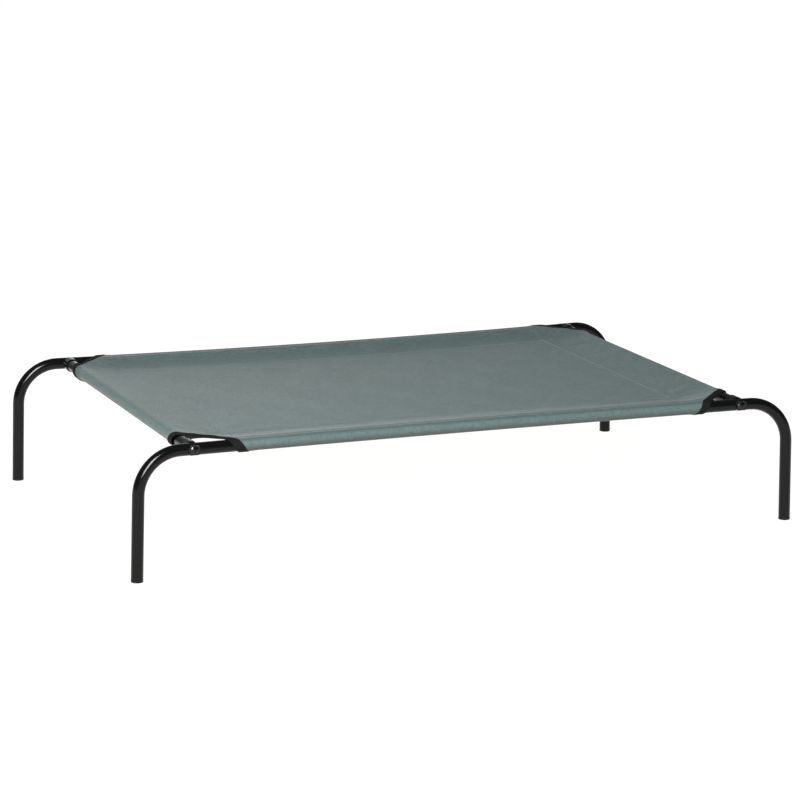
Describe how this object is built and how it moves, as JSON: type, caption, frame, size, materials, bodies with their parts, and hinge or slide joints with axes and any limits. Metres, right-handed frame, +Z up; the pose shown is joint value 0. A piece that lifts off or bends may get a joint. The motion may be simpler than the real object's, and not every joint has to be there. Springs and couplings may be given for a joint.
{
  "type": "raised dog bed",
  "caption": "Raised dog bed: a rectangular cloth sling sleeved over a bolted black tube frame that stands on bent tube legs.",
  "frame": {"origin": "on the floor, under the middle of the bed", "axes": "+X along the bed, +Y across it, +Z up"},
  "size_m": [1.3016, 0.7976, 0.241],
  "materials": {
    "powder_coated_steel": "black powder coat, satin with a fine orange peel",
    "plated_steel": "bright zinc plate",
    "black_bolt": "black oxide, slightly glossy",
    "black_plastic": "moulded black polyethylene, low gloss",
    "sling_cloth": "grey-green coated plain weave, fine and matt",
    "binding_tape": "black woven binding tape"
  },
  "bodies": {
    "root": {"front_left_rail": "powder_coated_steel", "front_right_rail": "powder_coated_steel", "back_left_rail": "powder_coated_steel", "back_right_rail": "powder_coated_steel", "left_cross_tube": "powder_coated_steel", "right_cross_tube": "powder_coated_steel", "front_joining_sleeve": "plated_steel", "back_joining_sleeve": "plated_steel", "front_left_saddle_spacer": "black_plastic", "front_left_insert_nut": "plated_steel", "front_left_saddle_washer": "black_plastic", "front_left_frame_bolt": "black_bolt", "front_left_foot_cap": "black_plastic", "front_right_saddle_spacer": "black_plastic", "front_right_insert_nut": "plated_steel", "front_right_saddle_washer": "black_plastic", "front_right_frame_bolt": "black_bolt", "front_right_foot_cap": "black_plastic", "back_left_saddle_spacer": "black_plastic", "back_left_insert_nut": "plated_steel", "back_left_saddle_washer": "black_plastic", "back_left_frame_bolt": "black_bolt", "back_left_foot_cap": "black_plastic", "back_right_saddle_spacer": "black_plastic", "back_right_insert_nut": "plated_steel", "back_right_saddle_washer": "black_plastic", "back_right_frame_bolt": "black_bolt", "back_right_foot_cap": "black_plastic", "sling": "sling_cloth", "front_left_corner_binding": "binding_tape", "front_right_corner_binding": "binding_tape", "back_left_corner_binding": "binding_tape", "back_right_corner_binding": "binding_tape"}
  },
  "joints": []
}
